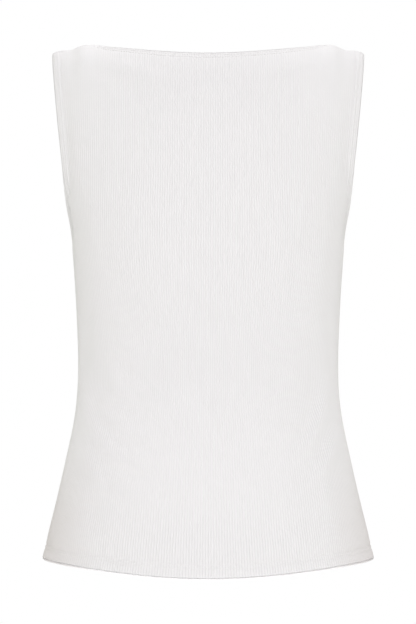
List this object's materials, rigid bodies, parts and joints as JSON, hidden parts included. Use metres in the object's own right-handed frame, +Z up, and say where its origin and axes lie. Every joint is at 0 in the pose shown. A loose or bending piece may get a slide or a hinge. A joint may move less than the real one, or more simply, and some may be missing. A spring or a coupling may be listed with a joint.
{
  "type": "sleeveless rib-knit top",
  "caption": "Sleeveless fitted rib-knit top with a wide boat neck, broad straps, a shaped waist and a flared hem, held open as when worn.",
  "frame": {"origin": "midway between the two shoulder straps, level with the points where the neckline crosses them", "axes": "+Z up, out of the neck opening; the front of the top faces -Y and its back faces +Y; +X towards the wearer's left"},
  "size_m": [0.3414, 0.2375, 0.5374],
  "materials": {
    "back_panel": "matte white rib knit",
    "front_panel": "matte white rib knit"
  },
  "bodies": {
    "root": {"back_panel": "back_panel", "front_panel": "front_panel"}
  },
  "joints": []
}
